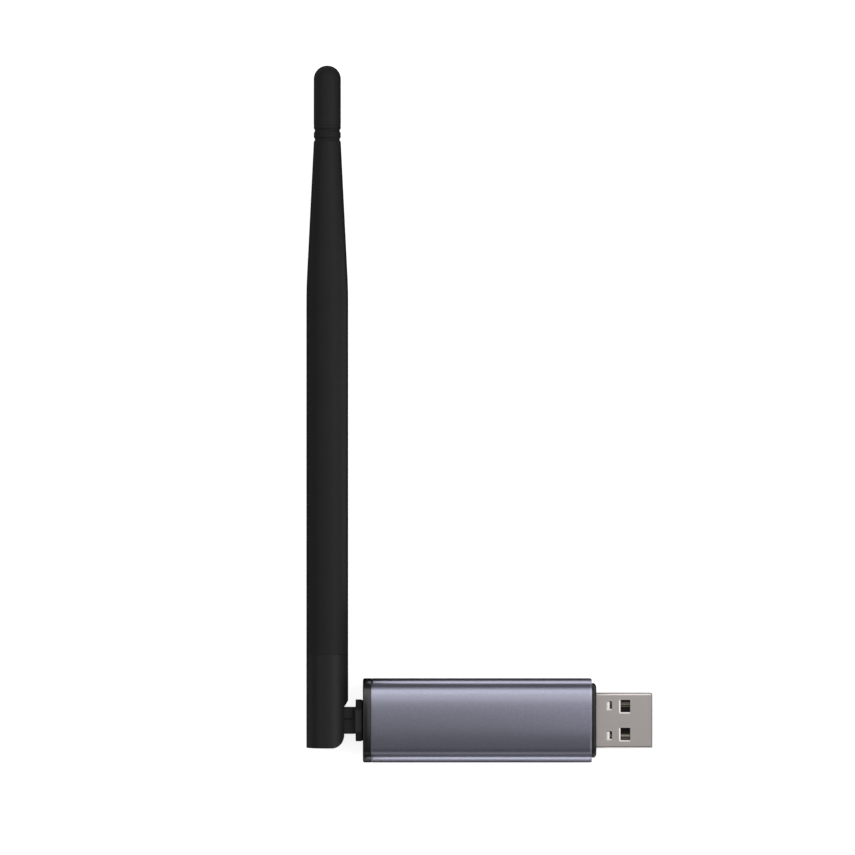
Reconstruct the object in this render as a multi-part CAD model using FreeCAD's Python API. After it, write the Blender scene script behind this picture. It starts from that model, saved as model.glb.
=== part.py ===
import FreeCAD, Part
import math
import os

Vector = FreeCAD.Vector
ALONG = Vector(1, 0, 0)
ACROSS = Vector(0, 1, 0)
UP = Vector(0, 0, 1)

# A radio stick that lies flat, in millimetres. +X runs along the stick to the plug's front,
# +Y to the tip of the folded antenna and +Z up. The origin is in the middle of the underside.

# Case: one extruded aluminium tube, flat below and slightly crowned on top
case_length = 48.3
case_width = 18.3
case_height = 11.0
case_wall = 1.0
case_corner = 3.6
crown_radius = 60.0
end_bevel = 0.2

# Grooves inside the case that hold the circuit board by its edges
board_thickness = 1.6
guide_lip = 0.9
guide_depth = 1.7
guide_clearance = 0.05
board_edge_clearance = 0.15

# Cap at the antenna's end, a plate with a spigot that enters the case
cap_thickness = 1.84
cap_edge = 0.35
spigot_length = 3.4
spigot_clearance = 0.08
cap_floor = 0.8
well_radius = 4.0
screw_head_radius = 1.25
screw_head_depth = 0.5
screw_tip_gap = 0.5
driver_slot = 0.36
driver_depth = 0.35
driver_reach = 0.78

# Cap at the plug's end, a plug pressed into the mouth of the case
insert_depth = 3.0
insert_proud = 0.88
insert_clearance = 0.05
insert_edge = 0.5

# Standard plug: stamped shell, plastic tongue and four contacts
shell_width = 12.0
shell_height = 4.5
shell_wall = 0.3
shell_corner = 0.8
shell_lip = 0.18
shell_seat = 2.6
shell_clearance = 0.1
plug_reach = 12.3
window_length = 2.7
window_width = 2.8
window_bevel = 0.16
window_spacing = 6.1
window_setback = 5.95
tab_length = 1.4
tab_width = 2.2
tab_dip = 0.62
tab_gap = 0.35
tab_setback = 9.55
ear_length = 1.5
ear_width = 1.3
tongue_thickness = 1.95
tongue_setback = 0.55
tongue_block = 5.6
tongue_clearance = 0.05
contact_width = 1.0
contact_thickness = 0.2
contact_places = (-3.5, -1.0, 1.0, 3.5)
outer_contact_setback = 1.3
inner_contact_setback = 2.3
contact_tail = 2.2
tail_room = 0.6

# Threaded coaxial jack on the rear edge of the board
jack_square = 6.35
jack_flange = 1.7
jack_barrel_radius = 3.175
jack_mouth_radius = 2.3
jack_mouth_depth = 1.9
jack_hole_clearance = 0.1
insulator_radius = 2.05
socket_radius = 0.64
socket_bore = 0.5
socket_depth = 2.6
jack_leg = 0.8
jack_leg_length = 4.4
jack_tail_width = 0.8
jack_tail_length = 2.4
board_notch = 1.5

# Coupling nut and the plug that it pulls onto the jack
hex_flats = 7.94
hex_length = 1.5
hex_trim = 0.12
skirt_radius = 3.8
skirt_gap = 0.3
nut_gap = 0.12
nut_wall = 0.7
thread_clearance = 0.06
running_clearance = 0.05
ferrule_flange = 0.7
ferrule_radius = 1.8
ferrule_tail_length = 2.6
pin_radius = 0.45
pin_reach = 1.9
lead_radius = 0.7
lead_clearance = 0.1

# Hinge: a flat knuckle held between the two ears of the antenna's hub
hinge_reach = 6.2
knuckle_height = 5.76
knuckle_width = 5.2
knuckle_edge = 0.45
knuckle_collar = 0.4
fork_clearance = 0.1
cavity_clearance = 0.3
collar_groove = 0.22
collar_groove_depth = 0.2
foot_clearance = 0.2
swing_clearance = 0.15
flare_run = 0.72
flare_rise = 1.17
hinge_pin_radius = 0.8
hinge_pin_grip = 1.5
ear_bore_depth = 1.3
pocket_width = 2.0
pocket_reach = 0.9

# Antenna: hub, tapered sleeve with two grooves near its tip, and what it covers
antenna_radius = 4.575
hub_height = 14.5
spigot_height = 6.0
sleeve_gap = 0.05
sleeve_wall = 1.0
straight_length = 80.0
taper_length = 32.0
tip_length = 13.6
tip_radius = 2.97
groove_width = 1.3
groove_depth = 0.25
bead_height = 0.65
radiator_start = 38.0
radiator_length = 26.0
radiator_wall = 0.35
rod_radius = 0.6
radiator_end_gap = 1.2
spacer_thickness = 1.5
assembly_gap = 0.05

# Electronics that the board carries, each as length, width and height
can_size = (11.0, 10.4, 2.3)
can_wall = 0.2
radio_chip_size = (7.0, 7.0, 0.9)
crystal_size = (1.6, 2.5, 0.7)
switch_size = (3.0, 4.0, 1.6)
button_length = 1.0
button_width = 2.0
button_height = 0.7
button_travel = 0.25
button_seat = 1.0
bridge_chip_size = (5.0, 5.0, 0.85)
regulator_size = (1.7, 2.9, 1.1)
capacitor_size = (1.6, 3.2, 1.5)
led_size = (0.8, 1.6, 0.7)
switch_to_lip = 0.55

# Heights and stations along the stick that several pieces share
axis_z = case_height / 2
board_top = axis_z + board_thickness / 2
board_bottom = axis_z - board_thickness / 2
channel_half = board_thickness / 2 + guide_clearance
inner_half_width = case_width / 2 - case_wall
screw_place = inner_half_width - guide_depth / 2
side_place = inner_half_width - guide_depth - switch_to_lip - switch_size[1] / 2
screw_radius = min(channel_half, guide_depth / 2) - guide_clearance

case_rear = -case_length / 2
case_front = case_length / 2
cap_face = case_rear - cap_thickness
spigot_end = case_rear + spigot_length
well_floor = spigot_end - cap_floor
board_rear = spigot_end + jack_flange
insert_back = case_front - insert_depth
shell_back = insert_back - shell_seat
board_front = shell_back - tail_room
plug_front = case_front + insert_proud + plug_reach

nut_face = cap_face - nut_gap
nut_rear = nut_face - hex_length
skirt_end = well_floor - skirt_gap
knuckle_end = nut_rear - running_clearance
flange_rear = nut_rear + nut_wall + running_clearance
flange_front = flange_rear + ferrule_flange
jack_mouth = flange_front + running_clearance
reference_plane = jack_mouth + jack_mouth_depth
plug_tip = reference_plane - running_clearance

hinge_x = nut_rear - hinge_reach
ferrule_step = (flange_rear + flange_front) / 2

# The fork's half width, where its ears' edges lie, and its foot, clear of the straight antenna's nut
fork_half = knuckle_width / 2 + fork_clearance
ear_edge = math.sqrt(antenna_radius ** 2 - fork_half ** 2)
foot_distance = hinge_reach - foot_clearance
seam_y = hub_height
sleeve_bore = antenna_radius - sleeve_wall
straight_top = seam_y + straight_length
rod_top = straight_top - radiator_end_gap
taper_top = straight_top + taper_length
antenna_top = taper_top + 2 * groove_width + bead_height + tip_length


def box(x, y, z):
    """Block between two values along each axis."""
    return Part.makeBox(x[1] - x[0], y[1] - y[0], z[1] - z[0], Vector(x[0], y[0], z[0]))


def rod(radius, start, end):
    """Round bar from one point to another."""
    run = end - start
    return Part.makeCylinder(radius, run.Length, start, run)


def axial(radius, x_start, x_end):
    """Round bar on the axis that the plug, the jack and the nut share."""
    return rod(radius, Vector(x_start, 0, axis_z), Vector(x_end, 0, axis_z))


def upright(radius, y_start, y_end):
    """Round bar on the axis of the folded antenna."""
    return rod(radius, Vector(hinge_x, y_start, axis_z), Vector(hinge_x, y_end, axis_z))


def outline(edges):
    """Flat face inside a ring of edges."""
    return Part.Face(Part.Wire(edges))


def line(start, end):
    return Part.LineSegment(start, end).toShape()


def arc(start, middle, end):
    return Part.Arc(start, middle, end).toShape()


def polygon(points):
    return outline([line(a, b) for a, b in zip(points, points[1:] + points[:1])])


def rounded_bar(width, height, corner, x_start, x_end):
    """Bar of rounded rectangular section along the stick's axis."""
    x = (x_start, x_end)
    blank = box(x, (-width / 2, width / 2), (axis_z - height / 2, axis_z + height / 2))
    return blank.makeFillet(corner, edges_along(blank, ALONG))


def edges_at(shape, x_place):
    """Edges of a shape that lie whole in one plane across the stick."""
    tolerance = 1e-6
    boxes = [(edge, edge.BoundBox) for edge in shape.Edges]
    return [edge for edge, size in boxes
            if abs(size.XMin - x_place) < tolerance and abs(size.XMax - x_place) < tolerance]


def edges_along(shape, direction):
    """Straight edges of a block that run along one of the axes."""
    nearly_one = 0.9
    return [edge for edge in shape.Edges
            if abs(edge.tangentAt(edge.FirstParameter).dot(direction)) > nearly_one]


def end_rings(bar):
    """The two circles at the ends of a round bar."""
    return [edge for edge in bar.Edges if len(edge.Vertexes) == 1]


def case_section(inset):
    """The case's outline across its length, drawn a distance inside its outer face."""
    radius = case_corner - inset
    side = case_width / 2 - inset
    crown = crown_radius - inset
    corner_y = case_width / 2 - case_corner
    crown_z = case_height - crown_radius
    corner_z = crown_z + math.sqrt((crown_radius - case_corner) ** 2 - corner_y ** 2)
    lean = math.atan2(corner_y, corner_z - crown_z)

    def around(centre_z, angle):
        return Vector(0, corner_y + radius * math.cos(angle), centre_z + radius * math.sin(angle))

    def mirrored(point):
        return Vector(0, -point.y, point.z)

    foot = Vector(0, corner_y, inset)
    low_side = Vector(0, side, case_corner)
    high_side = Vector(0, side, corner_z)
    shoulder = Vector(0, crown * math.sin(lean), crown_z + crown * math.cos(lean))
    low_middle = around(case_corner, -math.pi / 4)
    high_middle = around(corner_z, (math.pi / 2 - lean) / 2)
    top = Vector(0, 0, case_height - inset)
    return outline([
        line(mirrored(foot), foot),
        arc(foot, low_middle, low_side),
        line(low_side, high_side),
        arc(high_side, high_middle, shoulder),
        arc(shoulder, top, mirrored(shoulder)),
        arc(mirrored(shoulder), mirrored(high_middle), mirrored(high_side)),
        line(mirrored(high_side), mirrored(low_side)),
        arc(mirrored(low_side), mirrored(low_middle), mirrored(foot)),
    ])


def case_bar(inset, x_start, x_end):
    """Bar with the case's section, a distance inside its outer face."""
    face = case_section(inset)
    face.translate(ALONG * x_start)
    return face.extrude(ALONG * (x_end - x_start))


def case_shell():
    """Extruded tube with two lips on each side wall that hold the board between them."""
    outer = case_bar(0, case_rear, case_front)
    outer = outer.makeChamfer(end_bevel, edges_at(outer, case_rear) + edges_at(outer, case_front))
    shell = outer.cut(case_bar(case_wall, case_rear, case_front))
    guide_end = shell_back - shell_clearance
    lip_root = inner_half_width + case_wall / 2
    lip_edge = inner_half_width - guide_depth
    for side in (-1, 1):
        y = sorted((side * lip_edge, side * lip_root))
        for low in (-channel_half - guide_lip, channel_half):
            shell = shell.fuse(box((case_rear, guide_end), y, (axis_z + low, axis_z + low + guide_lip)))
    return shell.removeSplitter()


def antenna_end_cap():
    """Moulded plate with a spigot, a round well for the nut and two countersunk screw holes."""
    plate = case_bar(0, cap_face, case_rear)
    plate = plate.makeChamfer(cap_edge, edges_at(plate, cap_face))
    cap = plate.fuse(case_bar(case_wall + spigot_clearance, case_rear, spigot_end))
    notch_half = channel_half + guide_lip + spigot_clearance
    notch_edge = inner_half_width - guide_depth - spigot_clearance
    for side in (-1, 1):
        y = sorted((side * notch_edge, side * case_width))
        cap = cap.cut(box((case_rear, spigot_end), y, (axis_z - notch_half, axis_z + notch_half)))
        place = Vector(cap_face, side * screw_place, axis_z)
        cap = cap.cut(screw_form(place, assembly_gap))
    cap = cap.cut(axial(well_radius, cap_face, well_floor))
    cap = cap.cut(axial(jack_barrel_radius + jack_hole_clearance, well_floor, spigot_end))
    return cap.removeSplitter()


def screw_form(place, growth):
    """Countersunk screw from a point on its head's face, grown all round for the hole it needs."""
    head = Part.makeCone(screw_head_radius + growth, screw_radius + growth, screw_head_depth, place, ALONG)
    shank = rod(screw_radius + growth, place, Vector(board_rear - screw_tip_gap, place.y, place.z))
    return head.fuse(shank)


def case_screws():
    """Two self-cutting screws that bite into the mouths of the board grooves."""
    screws = []
    for side in (-1, 1):
        place = Vector(cap_face, side * screw_place, axis_z)
        screw = screw_form(place, 0)
        x = (cap_face, cap_face + driver_depth)
        for wide, narrow in ((driver_reach, driver_slot / 2), (driver_slot / 2, driver_reach)):
            screw = screw.cut(box(x, (place.y - wide, place.y + wide), (axis_z - narrow, axis_z + narrow)))
        screws.append(screw.removeSplitter())
    return Part.makeCompound(screws)


def usb_end_cap():
    """Moulded insert that closes the case round the plug and stands a little proud of it."""
    inset = case_wall + insert_clearance
    cap = case_bar(inset, insert_back, case_front + insert_proud)
    cap = cap.makeChamfer(insert_edge, edges_at(cap, case_front + insert_proud))
    width = shell_width + 2 * shell_clearance
    height = shell_height + 2 * shell_clearance
    corner = shell_corner + shell_clearance
    return cap.cut(rounded_bar(width, height, corner, insert_back, case_front + insert_proud))


def window_cutter(face_z, x_middle, y_middle, inward):
    """Square window through the shell's wall, bevelled at its outer edge."""
    def ring(growth, z):
        half_x = window_length / 2 + growth
        half_y = window_width / 2 + growth
        corners = ((-half_x, -half_y), (half_x, -half_y), (half_x, half_y), (-half_x, half_y))
        points = [Vector(x_middle + x, y_middle + y, z) for x, y in corners]
        return polygon(points).OuterWire

    bevel = Part.makeLoft([ring(window_bevel, face_z), ring(0, face_z + inward * window_bevel)], True)
    z = sorted((face_z, face_z + inward * (shell_wall + shell_clearance)))
    half_x = window_length / 2
    half_y = window_width / 2
    hole = box((x_middle - half_x, x_middle + half_x), (y_middle - half_y, y_middle + half_y), z)
    return bevel.fuse(hole)


def spring_tab(y_middle):
    """Lanced tab: cut free on three sides and bent down into the shell towards its front."""
    top = axis_z + shell_height / 2
    root = plug_front - tab_setback - tab_length / 2
    tip = root + tab_length - tab_gap
    points = [
        Vector(root - shell_wall, y_middle - tab_width / 2, top),
        Vector(root, y_middle - tab_width / 2, top),
        Vector(tip, y_middle - tab_width / 2, top - tab_dip),
        Vector(tip, y_middle - tab_width / 2, top - tab_dip - shell_wall),
        Vector(root, y_middle - tab_width / 2, top - shell_wall),
        Vector(root - shell_wall, y_middle - tab_width / 2, top - shell_wall),
    ]
    return polygon(points).extrude(ACROSS * tab_width)


def usb_shell():
    """Stamped steel shell: two windows above and below, two spring tabs and two soldered ears."""
    outer = rounded_bar(shell_width, shell_height, shell_corner, shell_back, plug_front)
    outer = outer.makeChamfer(shell_lip, edges_at(outer, plug_front))
    inner_width = shell_width - 2 * shell_wall
    inner_height = shell_height - 2 * shell_wall
    inner_corner = shell_corner - shell_wall
    shell = outer.cut(rounded_bar(inner_width, inner_height, inner_corner, shell_back, plug_front))
    top = axis_z + shell_height / 2
    for side in (-1, 1):
        y_middle = side * window_spacing / 2
        x_middle = plug_front - window_setback
        shell = shell.cut(window_cutter(top, x_middle, y_middle, -1))
        shell = shell.cut(window_cutter(axis_z - shell_height / 2, x_middle, y_middle, 1))
        root = plug_front - tab_setback - tab_length / 2
        y = (y_middle - tab_width / 2, y_middle + tab_width / 2)
        shell = shell.cut(box((root, root + tab_length), y, (top - shell_wall, top)))
        shell = shell.fuse(spring_tab(y_middle))
        ear_root = shell_width / 2 - shell_wall / 2
        ear_x = (shell_back, shell_back + ear_length)
        ear_y = sorted((side * ear_root, side * (shell_width / 2 + ear_width)))
        shell = shell.fuse(box(ear_x, ear_y, (board_top, board_top + shell_wall)))
    return shell.removeSplitter()


def contact_strip(y_middle, setback, growth):
    """One bent contact: along the tongue, up behind it and back onto the board."""
    low = axis_z - growth
    high = low + contact_thickness + 2 * growth
    front = plug_front - setback + growth
    bend = board_front + tail_room / 2
    back = board_front - contact_tail
    width = contact_width + 2 * growth
    start_y = y_middle - width / 2
    tail_low = board_top - growth
    tail_high = board_top + contact_thickness + growth
    bend_back = bend - contact_thickness / 2 - growth
    bend_front = bend + contact_thickness / 2 + growth
    points = [(front, low), (front, high), (bend_front, high), (bend_front, tail_high),
              (back, tail_high), (back, tail_low), (bend_back, tail_low), (bend_back, low)]
    return polygon([Vector(x, start_y, z) for x, z in points]).extrude(ACROSS * width)


def contact_setback(y_middle):
    """The outer pair of contacts, which carry power, reach nearer to the plug's front."""
    if abs(y_middle) > min(abs(place) for place in contact_places) + contact_width / 2:
        return outer_contact_setback
    return inner_contact_setback


def usb_tongue():
    """Moulded insulator: a block that fills the back of the shell and a tongue below the contacts."""
    width = shell_width - 2 * shell_wall - 2 * tongue_clearance
    height = shell_height - 2 * shell_wall - 2 * tongue_clearance
    corner = shell_corner - shell_wall - tongue_clearance
    block_end = shell_back + tongue_block
    tongue_end = plug_front - tongue_setback
    filled = rounded_bar(width, height, corner, shell_back, tongue_end)
    top = axis_z + shell_height
    filled = filled.cut(box((block_end, tongue_end), (-shell_width, shell_width), (axis_z, top)))
    tongue_bottom = axis_z - tongue_thickness
    bottom = axis_z - shell_height
    tongue = filled.cut(box((block_end, tongue_end), (-shell_width, shell_width), (bottom, tongue_bottom)))
    for place in contact_places:
        tongue = tongue.cut(contact_strip(place, contact_setback(place), assembly_gap / 2))
    return tongue.removeSplitter()


def circuit_board():
    """Board with a notch at the rear for the jack's tail and two arms that hold the plug's shell."""
    half = inner_half_width - board_edge_clearance
    z = (board_bottom, board_top)
    board = box((board_rear, insert_back - board_edge_clearance), (-half, half), z)
    shell_room = shell_width / 2 + shell_clearance
    board = board.cut(box((board_front, case_front), (-shell_room, shell_room), z))
    notch_end = board_rear + jack_tail_length + board_edge_clearance
    return board.cut(box((board_rear, notch_end), (-board_notch / 2, board_notch / 2), z))


def jack_body():
    """Turned and milled brass jack: a threaded barrel, a square flange and four legs on the board."""
    half = jack_square / 2
    flange = box((spigot_end, board_rear), (-half, half), (axis_z - half, axis_z + half))
    jack = flange.fuse(axial(jack_barrel_radius, jack_mouth, spigot_end))
    for side in (-1, 1):
        y = sorted((side * half, side * (half - jack_leg)))
        x = (board_rear, board_rear + jack_leg_length)
        jack = jack.fuse(box(x, y, (board_top, board_top + jack_leg)))
        jack = jack.fuse(box(x, y, (board_bottom - jack_leg, board_bottom)))
    jack = jack.cut(axial(jack_mouth_radius, jack_mouth, reference_plane))
    return jack.cut(axial(insulator_radius, reference_plane, board_rear)).removeSplitter()


def jack_insulator():
    body = axial(insulator_radius - assembly_gap / 2, reference_plane, board_rear)
    return body.cut(axial(socket_radius + assembly_gap / 2, reference_plane, board_rear))


def jack_contact():
    """Centre contact: a sprung socket in front and a square tail soldered in the board's notch."""
    contact = axial(socket_radius, reference_plane, board_rear)
    half = jack_tail_width / 2
    tail = box((board_rear, board_rear + jack_tail_length), (-half, half), (axis_z - half, axis_z + half))
    bore = axial(socket_bore, reference_plane, reference_plane + socket_depth)
    return contact.fuse(tail).cut(bore).removeSplitter()


def coupling_nut():
    """Nut with a short hexagon to grip and a skirt that hides in the cap's well. Its bore is threaded."""
    corner = hex_flats / math.sqrt(3)
    angles = [math.radians(90 + 60 * step) for step in range(6)]
    ring = [Vector(nut_rear, corner * math.sin(a), axis_z + corner * math.cos(a)) for a in angles]
    hexagon = polygon(ring).extrude(ALONG * hex_length)
    trim = axial(corner, nut_rear, nut_face)
    nut = hexagon.common(trim.makeChamfer(hex_trim, end_rings(trim)))
    nut = nut.fuse(axial(skirt_radius, nut_face, skirt_end))
    nut = nut.cut(axial(ferrule_radius + running_clearance, nut_rear, nut_rear + nut_wall))
    bore = jack_barrel_radius + thread_clearance
    return nut.cut(axial(bore, nut_rear + nut_wall, skirt_end)).removeSplitter()


def plug_ferrule():
    """Turned ferrule: a tail in the knuckle, a flange that the nut pulls on, and a thin sleeve."""
    ferrule = axial(ferrule_radius, knuckle_end - ferrule_tail_length, flange_rear)
    ferrule = ferrule.fuse(axial(jack_barrel_radius - running_clearance, flange_rear, flange_front))
    ferrule = ferrule.fuse(axial(jack_mouth_radius - running_clearance, flange_front, plug_tip))
    ferrule = ferrule.cut(axial(insulator_radius, ferrule_step, plug_tip))
    lead_hole = axial(lead_radius + lead_clearance, knuckle_end - ferrule_tail_length, ferrule_step)
    return ferrule.cut(lead_hole).removeSplitter()


def plug_insulator():
    body = axial(insulator_radius - assembly_gap / 2, ferrule_step, plug_tip)
    return body.cut(axial(pin_radius + assembly_gap / 2, ferrule_step, plug_tip))


def plug_pin():
    """Centre pin, standing out into the jack's socket."""
    return axial(pin_radius, ferrule_step, reference_plane + pin_reach)


def plug_lead():
    """The stretch of thin coaxial cable that lies in the knuckle."""
    return axial(lead_radius, hinge_x + pocket_reach, ferrule_step)


def knuckle():
    """Moulded flat knuckle: a round eye between the hub's ears, a tang and a collar behind the nut."""
    half_height = knuckle_height / 2
    z = (axis_z - knuckle_width / 2, axis_z + knuckle_width / 2)
    tang_end = knuckle_end - knuckle_collar
    tang = box((hinge_x, tang_end), (-half_height, half_height), z)
    eye = rod(half_height, Vector(hinge_x, 0, z[0]), Vector(hinge_x, 0, z[1]))
    body = tang.makeFillet(knuckle_edge, edges_along(tang, ALONG)).fuse(eye)
    collar_flats = box((tang_end, knuckle_end), (-knuckle_height, knuckle_height), z)
    body = body.fuse(axial(half_height, tang_end, knuckle_end).common(collar_flats))
    groove_x = (tang_end - collar_groove, tang_end)
    core_half = half_height - collar_groove_depth
    core_z = (z[0] + collar_groove_depth, z[1] - collar_groove_depth)
    groove_core = box(groove_x, (-core_half, core_half), core_z)
    body = body.cut(axial(half_height + knuckle_width, *groove_x).cut(groove_core))
    pocket_x = (hinge_x - half_height, hinge_x + pocket_reach)
    pocket_z = (axis_z - pocket_width / 2, axis_z + pocket_width / 2)
    body = body.cut(box(pocket_x, (-pocket_reach, half_height), pocket_z))
    body = body.cut(axial(lead_radius + lead_clearance, hinge_x, knuckle_end))
    tail_start = knuckle_end - ferrule_tail_length
    body = body.cut(axial(ferrule_radius + assembly_gap / 2, tail_start, knuckle_end))
    body = body.cut(rod(hinge_pin_radius, Vector(hinge_x, 0, z[0]), Vector(hinge_x, 0, z[1])))
    return body.removeSplitter()


def hinge_pin(side):
    """Short steel pin pressed into the knuckle, which turns in the blind bore of one ear."""
    face = axis_z + side * knuckle_width / 2
    grip = min(hinge_pin_grip, (knuckle_width - pocket_width) / 2)
    tip = face + side * ear_bore_depth
    return rod(hinge_pin_radius, Vector(hinge_x, 0, face - side * grip), Vector(hinge_x, 0, tip))


def foot_rounding():
    """Corner radius that lets the ears swing past the nut, solved from how far they may reach."""
    reach = foot_distance + swing_clearance
    spare = ear_edge + foot_distance - reach
    return spare - math.sqrt(spare ** 2 - (ear_edge ** 2 + foot_distance ** 2 - reach ** 2))


def fork_slot():
    """Room for the knuckle through a quarter turn, closed at the back and flared at its upper end."""
    cavity = knuckle_height / 2 + cavity_clearance
    beyond = 2 * antenna_radius
    flare_start = antenna_radius - flare_run
    flare_top = cavity + flare_rise * (beyond - flare_start) / flare_run
    low = axis_z - fork_half
    diagonal = cavity / math.sqrt(2)
    left = Vector(hinge_x - cavity, 0, low)
    crest = Vector(hinge_x, cavity, low)
    face = outline([
        arc(crest, Vector(hinge_x - diagonal, diagonal, low), left),
        line(left, Vector(hinge_x - cavity, -beyond, low)),
        line(Vector(hinge_x - cavity, -beyond, low), Vector(hinge_x + beyond, -beyond, low)),
        line(Vector(hinge_x + beyond, -beyond, low), Vector(hinge_x + beyond, flare_top, low)),
        line(Vector(hinge_x + beyond, flare_top, low), Vector(hinge_x + flare_start, cavity, low)),
        line(Vector(hinge_x + flare_start, cavity, low), crest),
    ])
    return face.extrude(UP * (2 * fork_half))


def foot_corner_cutter():
    """What is taken off the ears' lower corner to round it."""
    radius = foot_rounding()
    centre_x = hinge_x + ear_edge - radius
    centre_y = radius - foot_distance
    z = (axis_z - 2 * antenna_radius, axis_z + 2 * antenna_radius)
    corner = box((centre_x, hinge_x + 2 * antenna_radius), (-2 * antenna_radius, centre_y), z)
    return corner.cut(rod(radius, Vector(centre_x, centre_y, z[0]), Vector(centre_x, centre_y, z[1])))


def antenna_hub():
    """Moulded hub: a fork with two ears below and a spigot above that carries the sleeve."""
    foot = -foot_distance
    hub = upright(antenna_radius, foot, seam_y - assembly_gap)
    spigot_top = seam_y + spigot_height
    hub = hub.fuse(upright(sleeve_bore - sleeve_gap, seam_y - assembly_gap, spigot_top))
    hub = hub.cut(fork_slot())
    hub = hub.cut(foot_corner_cutter())
    hub = hub.cut(upright(lead_radius + lead_clearance, 0, spigot_top))
    for side in (-1, 1):
        start = Vector(hinge_x, 0, axis_z)
        end = Vector(hinge_x, 0, axis_z + side * (fork_half + ear_bore_depth))
        hub = hub.cut(rod(hinge_pin_radius + running_clearance, start, end))
    return hub.removeSplitter()


def antenna_sleeve():
    """Moulded sleeve: a long tube, then a solid taper, a bead between two grooves and a domed tip."""
    def at(radius, y):
        return Vector(hinge_x + radius, y, axis_z)

    outside = [at(antenna_radius, seam_y), at(antenna_radius, straight_top)]
    for start in (taper_top, taper_top + groove_width + bead_height):
        middle = start + groove_width / 2
        outside += [at(tip_radius, start), at(tip_radius - groove_depth, middle)]
        outside.append(at(tip_radius, start + groove_width))
    dome_start = antenna_top - tip_radius
    outside.append(at(tip_radius, dome_start))
    dome_middle = at(tip_radius / math.sqrt(2), dome_start + tip_radius / math.sqrt(2))
    crest = at(0, antenna_top)
    inside = [crest, at(0, straight_top), at(sleeve_bore, straight_top)]
    inside += [at(sleeve_bore, seam_y), outside[0]]
    edges = [line(a, b) for a, b in zip(outside, outside[1:])]
    edges.append(arc(outside[-1], dome_middle, crest))
    edges += [line(a, b) for a, b in zip(inside, inside[1:])]
    return outline(edges).revolve(Vector(hinge_x, 0, axis_z), ACROSS, 360)


def feed_cable():
    """Thin coaxial cable from the hinge, through the hub, to the lower half of the radiator."""
    return upright(lead_radius, pocket_reach, radiator_start + radiator_length)


def radiator_tube():
    """Lower half of the radiator: a brass tube crimped on the cable along its whole length."""
    top = radiator_start + radiator_length
    tube = upright(lead_radius + radiator_wall, radiator_start, top)
    return tube.cut(upright(lead_radius, radiator_start, top))


def radiator_rod():
    """Upper half of the radiator: a straight wire on the end of the cable."""
    return upright(rod_radius, radiator_start + radiator_length, rod_top)


def radiator_spacer(bottom, hole):
    """Square plate whose corners centre the cable or the wire in the round sleeve."""
    half = (sleeve_bore - assembly_gap) / math.sqrt(2)
    y = (bottom, bottom + spacer_thickness)
    plate = box((hinge_x - half, hinge_x + half), y, (axis_z - half, axis_z + half))
    return plate.cut(upright(hole + assembly_gap / 2, *y))


def on_board(size, x_middle, y_middle):
    """Block of a given length, width and height that stands on the board."""
    length, width, height = size
    x = (x_middle - length / 2, x_middle + length / 2)
    y = (y_middle - width / 2, y_middle + width / 2)
    return box(x, y, (board_top, board_top + height))


def row_places():
    """Middles of the four groups along the board, evenly spaced between the jack and the plug."""
    start = board_rear + jack_leg_length
    end = board_front - contact_tail
    lengths = [can_size[0], switch_size[0], bridge_chip_size[0], regulator_size[0]]
    space = (end - start - sum(lengths)) / (len(lengths) + 1)
    places = []
    for length in lengths:
        start += space + length / 2
        places.append(start)
        start += length / 2
    return places


can_place, switch_place, bridge_place, regulator_place = row_places()


def shield_can():
    """Folded steel can soldered over the radio chip and its crystal."""
    inside = (can_size[0] - 2 * can_wall, can_size[1] - 2 * can_wall, can_size[2] - can_wall)
    return on_board(can_size, can_place, 0).cut(on_board(inside, can_place, 0))


def radio_parts():
    """The radio chip and its crystal, side by side under the can."""
    span = can_size[0] - 2 * can_wall
    space = (span - radio_chip_size[0] - crystal_size[0]) / 3
    chip_x = can_place - span / 2 + space + radio_chip_size[0] / 2
    crystal_x = can_place + span / 2 - space - crystal_size[0] / 2
    return on_board(radio_chip_size, chip_x, 0), on_board(crystal_size, crystal_x, 0)


def button_bar(side, growth, bottom, top):
    """Upright bar of a button's section, grown all round by a clearance."""
    x = (switch_place - button_length / 2 - growth, switch_place + button_length / 2 + growth)
    y_middle = side * side_place
    y = (y_middle - button_width / 2 - growth, y_middle + button_width / 2 + growth)
    return box(x, y, (bottom, top))


def switch_body(side):
    """Tiny switch with a mouth in its top for the button."""
    top = board_top + switch_size[2]
    body = on_board(switch_size, switch_place, side * side_place)
    return body.cut(button_bar(side, running_clearance, top - button_seat, top))


def switch_button(side):
    """Button that stands in its switch, above the mouth's floor by its travel and a little more."""
    top = board_top + switch_size[2]
    bottom = top - button_seat + button_travel + running_clearance
    return button_bar(side, 0, bottom, top + button_height)


def save(node, shape):
    """One file for each node; a node that is a single piece is written as that one solid."""
    solids = shape.Solids
    piece = solids[0] if len(solids) == 1 else shape
    piece.exportStep("parts/" + node + ".step")


os.makedirs("parts", exist_ok=True)

save("case_shell", case_shell())
save("antenna_end_cap", antenna_end_cap())
save("case_screws", case_screws())
save("usb_end_cap", usb_end_cap())
save("usb_shell", usb_shell())
save("usb_tongue", usb_tongue())
for number, place in enumerate(contact_places, 1):
    save("usb_contact_%d" % number, contact_strip(place, contact_setback(place), 0))

save("circuit_board", circuit_board())
radio_chip, radio_crystal = radio_parts()
save("radio_chip", radio_chip)
save("radio_crystal", radio_crystal)
save("shield_can", shield_can())
save("bridge_chip", on_board(bridge_chip_size, bridge_place, 0))
save("voltage_regulator", on_board(regulator_size, regulator_place, side_place))
save("bulk_capacitor", on_board(capacitor_size, regulator_place, -side_place))
save("status_led", on_board(led_size, regulator_place, 0))
for name, side in (("boot", 1), ("reset", -1)):
    save(name + "_switch", switch_body(side))
    save(name + "_button", switch_button(side))

save("jack_body", jack_body())
save("jack_insulator", jack_insulator())
save("jack_contact", jack_contact())

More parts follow.
